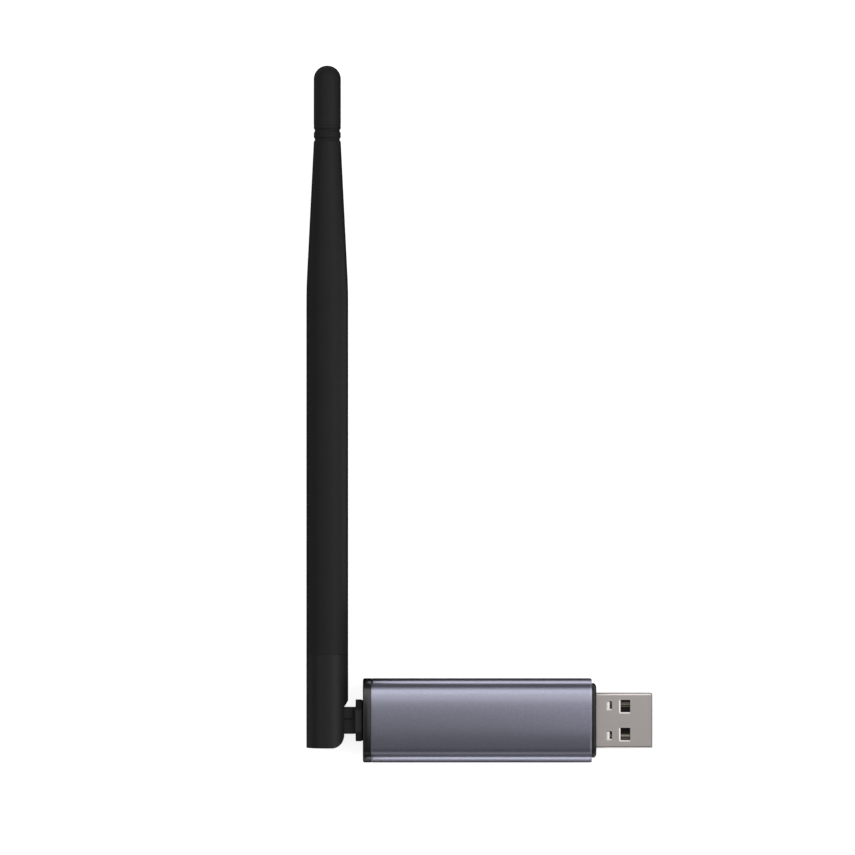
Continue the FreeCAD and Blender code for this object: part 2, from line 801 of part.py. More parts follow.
save("coupling_nut", coupling_nut())
save("plug_ferrule", plug_ferrule())
save("plug_insulator", plug_insulator())
save("plug_pin", plug_pin())
save("plug_lead", plug_lead())
save("knuckle", knuckle())
save("hinge_pin_upper", hinge_pin(1))
save("hinge_pin_lower", hinge_pin(-1))

save("antenna_hub", antenna_hub())
save("antenna_sleeve", antenna_sleeve())
save("feed_cable", feed_cable())
save("radiator_tube", radiator_tube())
save("radiator_rod", radiator_rod())
save("spacer_lower", radiator_spacer(radiator_start - spacer_thickness, lead_radius))
save("spacer_upper", radiator_spacer(rod_top - 2 * spacer_thickness, rod_radius))
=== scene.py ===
import bmesh
import bpy
from math import asin, atan2, cos, degrees, pi, radians, sin, sqrt, tan
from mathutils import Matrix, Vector


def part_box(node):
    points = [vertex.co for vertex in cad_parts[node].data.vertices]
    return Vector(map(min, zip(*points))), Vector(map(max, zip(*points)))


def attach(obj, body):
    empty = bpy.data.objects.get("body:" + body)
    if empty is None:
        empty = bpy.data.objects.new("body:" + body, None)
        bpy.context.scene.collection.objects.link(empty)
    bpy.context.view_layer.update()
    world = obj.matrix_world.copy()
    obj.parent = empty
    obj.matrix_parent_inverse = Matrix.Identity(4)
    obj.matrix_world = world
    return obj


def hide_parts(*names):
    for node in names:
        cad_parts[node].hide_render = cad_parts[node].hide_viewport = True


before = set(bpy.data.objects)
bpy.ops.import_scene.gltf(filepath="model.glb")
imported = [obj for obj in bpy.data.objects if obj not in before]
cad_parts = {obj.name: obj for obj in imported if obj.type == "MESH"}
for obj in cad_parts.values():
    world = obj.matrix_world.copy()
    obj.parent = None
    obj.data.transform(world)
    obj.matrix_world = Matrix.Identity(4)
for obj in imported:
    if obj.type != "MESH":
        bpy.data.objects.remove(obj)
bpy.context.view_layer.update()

# The case is one length of extruded aluminium tube, a little crowned on top. It is blasted with
# fine grit, anodised space grey and bevelled at both ends. Two lips inside each side wall hold
# the circuit board, and both end caps are pushed into its mouths.

mm = 0.001
case_low, case_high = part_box("case_shell")
axis_z = (case_low.z + case_high.z) / 2
case_wall = 1.0 * mm
case_corner = 3.6 * mm
crown_radius = 60.0 * mm
antenna_bevel = (0.35 * mm, 0.08 * mm)
plug_bevel = (0.42 * mm, 0.08 * mm)
tube_set_back = 0.13 * mm
board_low, board_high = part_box("circuit_board")
lip_height = 0.9 * mm
lip_depth = 1.7 * mm
lip_play = 0.05 * mm
crease = radians(32)
weld = 0.0001 * mm


def arc(centre, radius, start, end, steps):
    """Points round a centre in one plane, from one angle to another, in degrees."""
    angles = [radians(start + (end - start) * step / steps) for step in range(steps + 1)]
    return [(centre[0] + radius * cos(angle), centre[1] + radius * sin(angle)) for angle in angles]


def case_outline(inset):
    """The case's section seen along the stick, a distance inside its outer face."""
    radius = case_corner - inset
    corner_y = case_high.y - case_corner
    crown_z = case_high.z - crown_radius
    corner_z = crown_z + sqrt((crown_radius - case_corner) ** 2 - corner_y ** 2)
    lean = degrees(atan2(corner_y, corner_z - crown_z))
    right = arc((corner_y, case_low.z + case_corner), radius, -90, 0, steps=16)
    right += arc((corner_y, corner_z), radius, 0, 90 - lean, steps=28)
    crown = arc((0, crown_z), crown_radius - inset, 90 - lean, 90 + lean, steps=40)[1:-1]
    return right + crown + [(-y, z) for y, z in reversed(right)]


def across_x(x, outline):
    """A ring of points in the plane across the stick at x."""
    return [Vector((x, y, z)) for y, z in outline]


def skin(mesh, rings, closed=False):
    """Joins rings of equally many points by four-sided faces and gives their corners back."""
    made = [[mesh.verts.new(point) for point in ring] for ring in rings]
    following = made[1:] + (made[:1] if closed else [])
    for ring, after in zip(made, following):
        for step in range(len(ring)):
            mesh.faces.new((ring[step - 1], ring[step], after[step], after[step - 1]))
    return made


def solid(mesh, rings):
    """Skin with a flat face at each end."""
    made = skin(mesh, rings)
    mesh.faces.new(made[0])
    mesh.faces.new(made[-1])
    return made


def block(mesh, x, y, z):
    """Plain bar between two values along each axis."""
    corners = ((y[0], z[0]), (y[1], z[0]), (y[1], z[1]), (y[0], z[1]))
    solid(mesh, [across_x(place, corners) for place in x])


def placed(name, mesh):
    """Puts a mesh into the scene as an object, with its double corners welded."""
    bmesh.ops.remove_doubles(mesh, verts=mesh.verts, dist=weld)
    bmesh.ops.recalc_face_normals(mesh, faces=mesh.faces)
    made = bpy.data.objects.new(name, bpy.data.meshes.new(name))
    mesh.to_mesh(made.data)
    mesh.free()
    bpy.context.scene.collection.objects.link(made)
    return made


def finished(name, mesh, finish, body, slot, *nodes, sharp=crease):
    """Makes the mesh a piece of the object that rides on a body and stands for CAD nodes."""
    piece = placed(name, mesh)
    piece.data.shade_smooth()
    piece.data.set_sharp_from_angle(angle=sharp)
    piece.data.materials.append(finish)
    even = piece.modifiers.new("even_normals", "WEIGHTED_NORMAL")
    even.keep_sharp = True
    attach(piece, body)
    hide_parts(*nodes)
    return piece


def linear(colour):
    """Turns an sRGB hex colour into the linear values that a shader takes."""
    parts = [int(colour[place:place + 2], 16) / 255 for place in (1, 3, 5)]
    return [part / 12.92 if part <= 0.04045 else ((part + 0.055) / 1.055) ** 2.4 for part in parts] + [1.0]


def node(tree, kind, inputs=None, **settings):
    """Adds a node. An input takes a value, or a link where it is given another node's output."""
    made = tree.nodes.new("ShaderNode" + kind)
    for name, value in settings.items():
        setattr(made, name, value)
    for name, value in (inputs or {}).items():
        if isinstance(value, bpy.types.NodeSocket):
            tree.links.new(value, made.inputs[name])
        else:
            made.inputs[name].default_value = value
    return made


def empty_finish(name):
    """A new material and its node tree, with nothing in it yet."""
    finish = bpy.data.materials.new(name)
    finish.use_nodes = True
    finish.node_tree.nodes.clear()
    return finish, finish.node_tree


# Blasted and anodised aluminium: a tinted metal whose even grain spreads each highlight into a
# soft band. The grit's real dents are near 0.05 mm, too fine to show, so they are drawn at 0.3 mm.
anodised, tree = empty_finish("anodised_aluminium")
dent = 0.3 * mm
cloud_width = 6 * mm
place = node(tree, "TexCoord").outputs["Object"]
grain = node(tree, "TexNoise", {"Vector": place, "Scale": 1 / dent, "Detail": 2.0})
cloud = node(tree, "TexNoise", {"Vector": place, "Scale": 1 / cloud_width, "Detail": 3.0})
tint = node(tree, "Mix", {"Factor": grain.outputs["Fac"], "A": linear("#a6a7ba"), "B": linear("#c6c7da")},
            data_type="RGBA")
rough = node(tree, "MapRange", {"Value": cloud.outputs["Fac"], "To Min": 0.34, "To Max": 0.38})
bump = node(tree, "Bump", {"Height": grain.outputs["Fac"], "Distance": 0.009 * mm, "Strength": 0.8})
blasted = node(tree, "BsdfPrincipled", {
    "Base Color": tint.outputs["Result"], "Metallic": 1.0, "Roughness": rough.outputs["Result"],
    "Normal": bump.outputs["Normal"]})
sealed = node(tree, "BsdfPrincipled", {
    "Base Color": tint.outputs["Result"], "Metallic": 1.0, "Roughness": 0.15})
both = node(tree, "MixShader", {0: 0.5, 1: blasted.outputs["BSDF"], 2: sealed.outputs["BSDF"]})
node(tree, "OutputMaterial", {"Surface": both.outputs["Shader"]})

tube = bmesh.new()
ends = [(case_low.x, case_wall), (case_low.x, antenna_bevel[1]), (case_low.x + antenna_bevel[0], 0)]
tube_end = case_high.x - tube_set_back
ends += [(tube_end - plug_bevel[0], 0), (tube_end, plug_bevel[1]), (tube_end, case_wall)]
skin(tube, [across_x(x, case_outline(inset)) for x, inset in ends], closed=True)
lips_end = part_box("usb_shell")[0].x - lip_play
wall_y = case_high.y - case_wall
for side in (-1, 1):
    lip_y = sorted((side * (wall_y - lip_depth), side * (wall_y + case_wall / 2)))
    for low in (board_low.z - lip_play - lip_height, board_high.z + lip_play):
        block(tube, (case_low.x + case_wall, lips_end), lip_y, (low, low + lip_height))
finished("case_tube", tube, anodised, "stick", "anodised_aluminium", "case_shell", sharp=radians(6))

# The cap at the antenna's end is moulded in black ABS: a plate with a rounded edge and a spigot
# that enters the case. A round well in it takes the nut, and two screws hold it at its sides.

cap_low, cap_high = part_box("antenna_end_cap")
cap_edge = 0.35 * mm
seam_edge = 0.1 * mm
spigot_play = 0.08 * mm
well_radius = 4.0 * mm
well_depth = 4.44 * mm
well_edge = 0.15 * mm
jack_hole = 3.275 * mm
screws_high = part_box("case_screws")[1]
seat_radius = 1.3 * mm
seat_depth = 0.5 * mm
shank_hole = 0.9 * mm
screw_head = 1.25 * mm
screw_y = screws_high.y - screw_head


def rounded(edge, steps=6):
    """Depths from an end face and the outline's inset there, round an edge."""
    turns = [radians(90 * step / steps) for step in range(steps + 1)]
    return [(edge * (1 - cos(turn)), edge * (1 - sin(turn))) for turn in turns]


def round_x(x, radius, y=0, steps=64):
    """A circle of points across the stick at x, on the plug's axis or beside it."""
    return across_x(x, arc((y, axis_z), radius, 0, 360 * (1 - 1 / steps), steps - 1))


def lid(mesh, *loops):
    """Fills the plane between an outer loop of corners and those inside it."""
    edges = [mesh.edges.get((loop[step - 1], loop[step])) for loop in loops for step in range(len(loop))]
    bmesh.ops.triangle_fill(mesh, use_beauty=True, use_dissolve=False, edges=edges)


def moulded(name, base, worn, rough, texture, depth, shine=0.5):
    """Moulded plastic: a fine spark-eroded texture from the tool and slightly uneven gloss."""
    finish, tree = empty_finish(name)
    flow_width = 20 * texture
    place = node(tree, "TexCoord").outputs["Object"]
    pits = node(tree, "TexNoise", {"Vector": place, "Scale": 1 / texture, "Detail": 3.0})
    flow = node(tree, "TexNoise", {"Vector": place, "Scale": 1 / flow_width, "Detail": 2.0})
    tint = node(tree, "Mix", {"Factor": flow.outputs["Fac"], "A": linear(base), "B": linear(worn)},
                data_type="RGBA")
    gloss = node(tree, "MapRange", {
        "Value": flow.outputs["Fac"], "To Min": rough - 0.03, "To Max": rough + 0.03})
    bump = node(tree, "Bump", {"Height": pits.outputs["Fac"], "Distance": depth, "Strength": 0.7})
    plastic = node(tree, "BsdfPrincipled", {
        "Base Color": tint.outputs["Result"], "IOR": 1.5, "Specular IOR Level": shine,
        "Roughness": gloss.outputs["Result"], "Normal": bump.outputs["Normal"]})
    node(tree, "OutputMaterial", {"Surface": plastic.outputs["BSDF"]})
    return finish


# Satin black ABS: dark, with a soft sheen where it faces the light.
satin_black = moulded("satin_black_abs", "#161617", "#19191a",
                      rough=0.2, texture=0.35 * mm, depth=0.001 * mm, shine=0.95)

plate = bmesh.new()
spigot_inset = case_wall + spigot_play
outside = [(cap_low.x + depth, inset) for depth, inset in rounded(cap_edge)]
outside += [(case_low.x - depth, inset) for depth, inset in reversed(rounded(seam_edge, steps=3))]
outside += [(case_low.x, spigot_inset), (cap_high.x, spigot_inset)]
outer = skin(plate, [across_x(x, case_outline(inset)) for x, inset in outside])
well_floor = cap_low.x + well_depth
well_wall = [(cap_low.x + depth, well_radius + inset) for depth, inset in rounded(well_edge, steps=3)]
well_wall += [(well_floor, well_radius), (well_floor, jack_hole), (cap_high.x, jack_hole)]
well = skin(plate, [round_x(x, radius) for x, radius in well_wall])
fronts, backs = [outer[0], well[0]], [outer[-1], well[-1]]
for side in (-1, 1):
    seat = [(cap_low.x, seat_radius), (cap_low.x + seat_depth, shank_hole)]
    seat += [(case_low.x + case_wall, shank_hole)]
    hole = skin(plate, [round_x(x, radius, side * screw_y, steps=40) for x, radius in seat])
    fronts.append(hole[0])
    plate.faces.new(hole[-1])
lid(plate, *fronts)
lid(plate, *backs)
finished("cap_plate", plate, satin_black, "stick", "black_cap_plastic", "antenna_end_cap")

# Two countersunk steel screws with a cross recess hold that cap. They bite into the mouths of the
# board's grooves. They are blackened, so they hardly show on the cap.


def plated(name, bright, dull, rough, grit):
    """Plated or bare metal: nearly even, with faint clouds in its gloss."""
    finish, tree = empty_finish(name)
    place = node(tree, "TexCoord").outputs["Object"]
    cloud = node(tree, "TexNoise", {"Vector": place, "Scale": 1 / grit, "Detail": 4.0})
    tint = node(tree, "Mix", {"Factor": cloud.outputs["Fac"], "A": linear(bright), "B": linear(dull)},
                data_type="RGBA")
    gloss = node(tree, "MapRange", {
        "Value": cloud.outputs["Fac"], "To Min": rough - 0.04, "To Max": rough + 0.04})
    metal = node(tree, "BsdfPrincipled", {
        "Base Color": tint.outputs["Result"], "Metallic": 1.0, "Roughness": gloss.outputs["Result"]})
    node(tree, "OutputMaterial", {"Surface": metal.outputs["BSDF"]})
    return finish


def repaint(finish, *names):
    """Gives CAD nodes that stay as they are their finish."""
    for name in names:
        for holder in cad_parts[name].material_slots:
            holder.material = finish


# Black zinc on steel: a dark metal with a low gloss.
blackened_steel = plated("blackened_steel", "#4a4a4d", "#3d3d40", rough=0.35, grit=0.5 * mm)
repaint(blackened_steel, "case_screws")

# The insert at the plug's end is moulded in the same black ABS. It is pressed into the mouth of
# the case, stands a little proud of it with well rounded edges, and the plug comes through it.

insert_low, insert_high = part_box("usb_end_cap")
insert_play = 0.05 * mm
insert_inset = case_wall + insert_play
insert_edge = 0.7 * mm
plug_low, plug_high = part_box("usb_shell")
plug_half_width = 6.0 * mm
plug_half_height = 2.25 * mm
plug_corner = 0.45 * mm
plug_play = 0.1 * mm


def bar_outline(half_width, half_height, corner, steps=10):
    """Rounded rectangle seen along the stick, on the plug's axis."""
    y, z = half_width - corner, half_height - corner
    points = arc((y, axis_z - z), corner, -90, 0, steps) + arc((y, axis_z + z), corner, 0, 90, steps)
    return points + [(-y, z) for y, z in reversed(points)]


insert = bmesh.new()
shape = [(insert_low.x, 0)]
shape += [(insert_high.x - depth, inset) for depth, inset in reversed(rounded(insert_edge, steps=10))]
outer = skin(insert, [across_x(x, case_outline(insert_inset + inset)) for x, inset in shape])
opening = (plug_half_width + plug_play, plug_half_height + plug_play, plug_corner + plug_play)
inner = skin(insert, [across_x(x, bar_outline(*opening)) for x in (insert_low.x, insert_high.x)])
lid(insert, outer[0], inner[0])
lid(insert, outer[-1], inner[-1])
# Matt black ABS: the same plastic, from a mould with a coarser texture.
dull_black = moulded("dull_black_abs", "#111112", "#151516",
                     rough=0.4, texture=0.3 * mm, depth=0.003 * mm, shine=0.5)
finished("plug_insert", insert, dull_black, "stick", "black_cap_plastic", "usb_end_cap")

# The plug's shell is stamped and folded from 0.3 mm nickel-plated steel. Two square windows above
# and below take the socket's springs, and two tabs are lanced and bent down behind the upper ones.

plug_wall = 0.3 * mm
plug_nose = 0.3 * mm
nose_fall = 0.55 * mm
nose_narrowing = 0.25
window_x = plug_high.x - 6.1 * mm
window_y = 3.05 * mm
window_half_length = 1.22 * mm
window_half_width = 1.5 * mm
window_corner = 0.1 * mm
window_draw = 0.32 * mm
tab_x = plug_high.x - 9.55 * mm
tab_y = 3.28 * mm
tab_half_length = 0.7 * mm
tab_half_width = 1.0 * mm
tab_corner = 0.25 * mm
tab_draw = 0.3 * mm
tab_root = tab_x - 0.68 * mm
tab_reach = 0.92 * mm
tab_dip = 0.31 * mm
tab_side_gap = 0.12 * mm
draw_slope = 0.36
ear_length = 1.5 * mm


def punch(x_middle, y_middle, half_length, half_width, corner, draw, face_z, inward):
    """Cutter for a punched hole. The punch has drawn two of its edges in, in a shallow slope."""
    mesh = bmesh.new()
    slope_depth = draw * draw_slope
    through = plug_wall + 2 * plug_play
    rings = []
    for depth, growth in ((through, -draw), (slope_depth, -draw), (0, 0), (-slope_depth, draw)):
        middle = (x_middle - growth / 2, y_middle - growth / 2)
        reach = (half_length + growth / 2 - corner, half_width + growth / 2 - corner)
        points = []
        for quarter, (x, y) in enumerate(((1, 1), (-1, 1), (-1, -1), (1, -1))):
            centre = (middle[0] + x * reach[0], middle[1] + y * reach[1])
            points += arc(centre, corner, 90 * quarter, 90 * quarter + 90, steps=6)
        rings.append([Vector((x, y, face_z + inward * depth)) for x, y in points])
    solid(mesh, rings)
    return mesh


def carved(blank, cutters, edge=0.0):
    """Mesh of a blank less its cutters, with the sharp edges rounded if asked."""
    body = placed("blank", blank)
    tools = [placed("cutter", cutter) for cutter in cutters]
    for tool in tools:
        cut = body.modifiers.new("cut", "BOOLEAN")
        cut.object = tool
        cut.solver = "EXACT"
    if edge:
        round_off = body.modifiers.new("edge", "BEVEL")
        round_off.width = edge
        round_off.segments = 3
        round_off.limit_method = "ANGLE"
        round_off.angle_limit = crease
    mesh = bmesh.new()
    mesh.from_object(body, bpy.context.evaluated_depsgraph_get())
    for made in [body] + tools:
        bpy.data.objects.remove(made)
    return mesh


blank = bmesh.new()
nose_x = plug_high.x - plug_nose
shape = [(plug_low.x, plug_wall, 0), (plug_low.x, 0, 0), (nose_x, 0, 0), (plug_high.x, 0, nose_fall)]
shape += [(plug_high.x, plug_wall, nose_fall), (nose_x, plug_wall, 0)]
rings = []
for x, inset, fall in shape:
    half_width = plug_half_width - inset - nose_narrowing * fall
    rings.append(across_x(x, bar_outline(half_width, plug_half_height - inset - fall, plug_corner - inset)))
skin(blank, rings, closed=True)
cutters = []
for side in (-1, 1):
    for inward in (-1, 1):
        face_z = axis_z - inward * plug_half_height
        cutters.append(punch(window_x, side * window_y, window_half_length, window_half_width,
                             window_corner, window_draw, face_z, inward))
    cutters.append(punch(tab_x, side * tab_y, tab_half_length, tab_half_width,
                         tab_corner, tab_draw, axis_z + plug_half_height, -1))
sheath = carved(blank, cutters)

# Each tab is bent down in an arc whose centre lies below its root.
bend = (tab_reach ** 2 + tab_dip ** 2) / (2 * tab_dip)
bend_centre = (tab_root, axis_z + plug_half_height - bend)
bend_end = 90 - degrees(2 * atan2(tab_dip, tab_reach))
tab_edge = arc(bend_centre, bend, 90, bend_end, steps=10)
tab_edge += arc(bend_centre, bend - plug_wall, bend_end, 90, steps=10)
tab_half = tab_half_width - tab_side_gap
for side in (-1, 1):
    solid(sheath, [[Vector((x, side * tab_y + y, z)) for x, z in tab_edge] for y in (-tab_half, tab_half)])

# Two ears fold out of the shell's sides and stand on the board, where they are soldered.
for side in (-1, 1):
    ear_y = sorted((side * (plug_half_width - plug_wall / 2), side * plug_high.y))
    ear_z = (board_high.z, board_high.z + plug_wall)
    block(sheath, (plug_low.x, plug_low.x + ear_length), ear_y, ear_z)

# Nickel on steel: a warm grey metal, satin along the rolled sheet, with faint streaks lengthwise.
nickel, tree = empty_finish("nickel_plated_steel")
streak_width = 0.3 * mm
streak_squeeze = 0.06
place = node(tree, "TexCoord").outputs["Object"]
along = node(tree, "Mapping", {"Vector": place, "Scale": (streak_squeeze, 1.0, 1.0)})
streak = node(tree, "TexNoise", {
    "Vector": along.outputs["Vector"], "Scale": 1 / streak_width, "Detail": 3.0})
tint = node(tree, "Mix", {"Factor": streak.outputs["Fac"], "A": linear("#dfd7d3"), "B": linear("#e5deda")},
            data_type="RGBA")
gloss = node(tree, "MapRange", {"Value": streak.outputs["Fac"], "To Min": 0.32, "To Max": 0.38})
bump = node(tree, "Bump", {"Height": streak.outputs["Fac"], "Distance": 0.001 * mm, "Strength": 0.5})
metal = node(tree, "BsdfPrincipled", {
    "Base Color": tint.outputs["Result"], "Metallic": 1.0, "Roughness": gloss.outputs["Result"],
    "Normal": bump.outputs["Normal"]})
node(tree, "OutputMaterial", {"Surface": metal.outputs["BSDF"]})
finished("plug_sheath", sheath, nickel, "stick", "plug_steel", "usb_shell", sharp=radians(15))

# Inside the shell a moulded tongue of black glass-filled nylon carries four gold-plated contacts.
# They lie on the tongue, turn up behind it and are soldered to the board.

# Glass-filled nylon: black and dull, with fine fibres that break up its gloss.
tongue_nylon = moulded("glass_filled_nylon", "#0c0c0d", "#121213",
                       rough=0.5, texture=0.3 * mm, depth=0.004 * mm)
repaint(tongue_nylon, "usb_tongue")

# Gold over nickel, greyer and darker than bright gold, and smoother. The darkness is a painted shade, so
# the contacts stay dark inside the shell but for a narrow highlight.
gold_darkened_as_shade = plated("gold_darkened_as_shade", "#aba599", "#968f82", rough=0.1, grit=1.2 * mm)
contact_half = 0.5 * mm
contact_crown = 0.52 * mm
contact_side = 0.02 * mm
contact_thickness = 0.2 * mm
riser_x = insert_low.x + 0.3 * mm
strips = bmesh.new()
contacts = ["usb_contact_1", "usb_contact_2", "usb_contact_3", "usb_contact_4"]
for name in contacts:
    strip_low, strip_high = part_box(name)
    middle = (strip_low.y + strip_high.y) / 2
    bottom, top = axis_z, axis_z + contact_thickness
    lean = degrees(asin(contact_half / contact_crown))
    crown = arc((middle, top - contact_crown), contact_crown, 90 - lean, 90 + lean, steps=12)
    section = [(middle - contact_half, bottom), (middle + contact_half, bottom)]
    section += [(y, max(z, bottom + contact_side)) for y, z in crown]
    solid(strips, [across_x(x, section) for x in (riser_x, strip_high.x)])
    across = (strip_low.y, strip_high.y)
    block(strips, (riser_x - contact_thickness, riser_x), across, (bottom, strip_high.z))
    block(strips, (strip_low.x, riser_x), across, (strip_high.z - contact_thickness, strip_high.z))
finished("contact_strips", strips, gold_darkened_as_shade, "stick", "gold_contact", *contacts)

# The circuit board is 1.6 mm laminate with a black solder mask, and slides in the case's grooves.
# Its radio chip and crystal sit under a folded can, beside two tiny switches and the power parts.

# Solder mask over laminate: dark and semi-gloss, with the glass weave just showing through. The
# wave texture draws 20 bands to a unit of its scale.
weave_pitch = 0.5 * mm
laminate, tree = empty_finish("masked_laminate")
place = node(tree, "TexCoord").outputs["Object"]
threads = [node(tree, "TexWave", {"Vector": place, "Scale": 1 / (20 * weave_pitch)}, bands_direction=way)
           for way in ("X", "Y")]
weave = node(tree, "Math", {0: threads[0].outputs["Fac"], 1: threads[1].outputs["Fac"]},
             operation="MULTIPLY")
tint = node(tree, "Mix", {"Factor": weave.outputs["Value"], "A": linear("#0d1512"), "B": linear("#16211c")},
            data_type="RGBA")
bump = node(tree, "Bump", {"Height": weave.outputs["Value"], "Distance": 0.01 * mm, "Strength": 0.4})
mask = node(tree, "BsdfPrincipled", {
    "Base Color": tint.outputs["Result"], "IOR": 1.55, "Roughness": 0.3, "Normal": bump.outputs["Normal"]})
node(tree, "OutputMaterial", {"Surface": mask.outputs["BSDF"]})
repaint(laminate, "circuit_board")

# Moulded epoxy: grey-black and matt, with the sandy surface of a chip's package.
chip_epoxy = moulded("chip_epoxy", "#1a1a1b", "#202021", rough=0.55, texture=0.2 * mm, depth=0.006 * mm)
repaint(chip_epoxy, "radio_chip", "bridge_chip", "voltage_regulator")

# Tinned steel: a bright soft metal with faint spangles.
tinned_steel = plated("tinned_steel", "#d8d8d4", "#c4c4c0", rough=0.28, grit=1.5 * mm)
repaint(tinned_steel, "shield_can", "radio_crystal")

# Fired ceramic: tan, dense and slightly speckled.
ceramic = moulded("capacitor_ceramic", "#8a6a4c", "#9a7a5a",
                  rough=0.45, texture=0.15 * mm, depth=0.003 * mm)
repaint(ceramic, "bulk_capacitor")

# Milky epoxy: the lens of the status light, pale and glossy.
lens_epoxy = moulded("lens_epoxy", "#d8dcd0", "#e6e8de", rough=0.2, texture=0.3 * mm, depth=0.001 * mm)
repaint(lens_epoxy, "status_led")

# Nylon switch bodies are black and dull, and their acetal buttons pale and slightly waxy.
switch_nylon = moulded("switch_nylon", "#171718", "#1e1e1f", rough=0.5, texture=0.25 * mm, depth=0.004 * mm)
repaint(switch_nylon, "boot_switch", "reset_switch")
button_acetal = moulded("button_acetal", "#c9c5ba", "#d6d2c8",
                        rough=0.35, texture=0.3 * mm, depth=0.002 * mm)
repaint(button_acetal, "boot_button", "reset_button")

# The coaxial jack is turned and milled from brass and plated with gold. Its white insulators are
# turned from PTFE, and its centre contact is beryllium copper under gold.

# Turned brass under gold: yellow metal with rings left by the tool.
turned_brass = plated("turned_brass", "#e8c878", "#d6b264", rough=0.25, grit=0.8 * mm)
repaint(turned_brass, "jack_body", "radiator_tube", "radiator_rod")

# Gold over nickel: a pale yellow metal, smooth, wiped a little duller where a contact rubs it.
gold_plate = plated("gold_plate", "#ffe0a3", "#eccb86", rough=0.22, grit=1.2 * mm)
repaint(gold_plate, "jack_contact", "plug_pin")

# PTFE: white, waxy and dull.
ptfe = moulded("ptfe", "#e4e4e0", "#ececea", rough=0.5, texture=0.3 * mm, depth=0.002 * mm)
repaint(ptfe, "jack_insulator", "plug_insulator")

# The coupling nut is turned from hexagon brass and plated black. It turns freely on the ferrule
# and draws it onto the jack, and its plain skirt hides in the cap's well.

nut_low, nut_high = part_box("coupling_nut")
hex_rear = nut_low.x
hex_length = 1.36 * mm
hex_front = hex_rear + hex_length
washer_thickness = 0.22 * mm
washer_front = hex_front + washer_thickness
washer_radius = 4.45 * mm
hex_flats = 7.94 * mm
hex_trim = 0.06 * mm
hex_trim_middle = 0.02 * mm
skirt_radius = 3.8 * mm
nut_hole = 1.85 * mm
nut_bore = 3.235 * mm
nut_wall = 0.7 * mm
side_steps = 16


def hex_ring(x, corner_cut):
    """A hexagon across the stick at x, with corners at its sides that a cone has trimmed."""
    corner = hex_flats / sqrt(3)
    ring = []
    for step in range(6 * side_steps):
        angle = radians(60 * step / side_steps)
        to_flat = (angle + pi / 6) % (pi / 3) - pi / 6
        radius = min(hex_flats / 2 / cos(pi / 6 - abs(to_flat)), corner - corner_cut)
        ring.append(Vector((x, radius * cos(angle), axis_z + radius * sin(angle))))
    return ring


nut = bmesh.new()
trims = [(hex_rear, hex_trim), (hex_rear + hex_trim, hex_trim_middle), (hex_rear + 2 * hex_trim, 0)]
trims += [(hex_rear + hex_front - x, cut) for x, cut in reversed(trims)]
skirt = [(washer_front, skirt_radius), (nut_high.x, skirt_radius), (nut_high.x, nut_bore)]
skirt += [(hex_rear + nut_wall, nut_bore), (hex_rear + nut_wall, nut_hole)]
rings = [round_x(hex_rear, nut_hole, steps=6 * side_steps)]
rings += [hex_ring(x, cut) for x, cut in trims]
washer = len(rings)
for x, radius in [(hex_front, washer_radius), (washer_front, washer_radius)] + skirt:
    rings.append(round_x(x, radius, steps=6 * side_steps))
made = skin(nut, rings, closed=True)
# The washer's faces take the second finish, the painted shadow.
for vert in made[washer]:
    for face in vert.link_faces:
        if all(corner in made[washer] + made[washer + 1] for corner in face.verts):
            face.material_index = 1

# Black chrome on brass: nearly black, dull enough to look moulded, with soft edges.
black_chrome, tree = empty_finish("black_chrome")
place = node(tree, "TexCoord").outputs["Object"]
tool_mark = 0.4 * mm
tooling = node(tree, "TexNoise", {"Vector": place, "Scale": 1 / tool_mark, "Detail": 3.0})
gloss = node(tree, "MapRange", {"Value": tooling.outputs["Fac"], "To Min": 0.36, "To Max": 0.44})
bump = node(tree, "Bump", {"Height": tooling.outputs["Fac"], "Distance": 0.003 * mm, "Strength": 0.5})
tint = node(tree, "Mix", {"Factor": tooling.outputs["Fac"], "A": linear("#3c3c3d"), "B": linear("#424243")},
            data_type="RGBA")
plating = node(tree, "BsdfPrincipled", {
    "Base Color": tint.outputs["Result"], "IOR": 1.5, "Specular IOR Level": 0.2,
    "Roughness": gloss.outputs["Result"], "Normal": bump.outputs["Normal"]})
node(tree, "OutputMaterial", {"Surface": plating.outputs["BSDF"]})
nut_piece = finished("hex_nut", nut, black_chrome, "nut", "nut_black_metal", "coupling_nut")

# A rubber washer lies in front of the hexagon. It is drawn nearly black and dead matt, a painted shadow, so
# the gap between the nut and the cap reads as a black line.
washer_painted_shadow = moulded("washer_painted_shadow", "#030303", "#050505",
                        rough=0.8, texture=0.3 * mm, depth=0.002 * mm, shine=0.05)
nut_piece.data.materials.append(washer_painted_shadow)

# The ferrule's tail shows beside the nut, and is plated as black as the nut.
repaint(black_chrome, "plug_ferrule")

# The knuckle is moulded round the ferrule's tail: a flat tang with a round eye that the antenna's
# fork holds, and a thin collar beside the nut. A mould line runs along its top and bottom.

knuckle_low, knuckle_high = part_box("knuckle")
hub_low, hub_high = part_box("antenna_hub")
hinge_x = (hub_low.x + hub_high.x) / 2
knuckle_half = knuckle_high.y
knuckle_edge = 0.45 * mm
collar_length = 0.3 * mm
collar_groove = 0.3 * mm
collar_edge = 0.05 * mm
mould_line = 0.35 * mm
mould_depth = 0.4 * mm
mould_line_y = 0.35 * mm


def knuckle_plan(inset, end):
    """The knuckle seen from above: a round eye and a straight tang."""
    half = knuckle_half - inset
    return arc((hinge_x, 0), half, 90, 270, steps=40) + [(end, -half), (end, half)]


